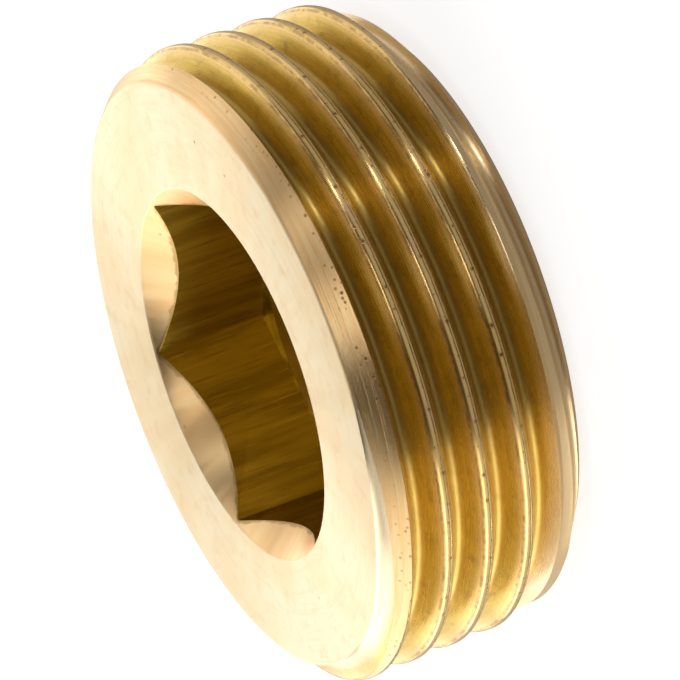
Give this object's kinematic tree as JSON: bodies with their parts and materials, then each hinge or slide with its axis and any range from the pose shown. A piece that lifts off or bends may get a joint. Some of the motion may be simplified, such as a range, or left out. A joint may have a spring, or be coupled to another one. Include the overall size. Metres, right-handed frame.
{
  "type": "pipe plug",
  "caption": "Flush turned pipe plug with an outside taper thread, a countersunk hexagon key socket and chamfered ends.",
  "frame": {"origin": "centre of the flat back end, which goes into the pipe first and rests on the ground plane", "axes": "+Z along the axis of the thread, from the back end towards the front face with the socket; +X through two opposite corners of the hexagon"},
  "size_m": [0.0335, 0.0335, 0.012],
  "materials": {
    "brass": "turned bare brass with fine circumferential tool lines, no plating"
  },
  "bodies": {
    "root": {"plug": "brass"}
  },
  "joints": []
}
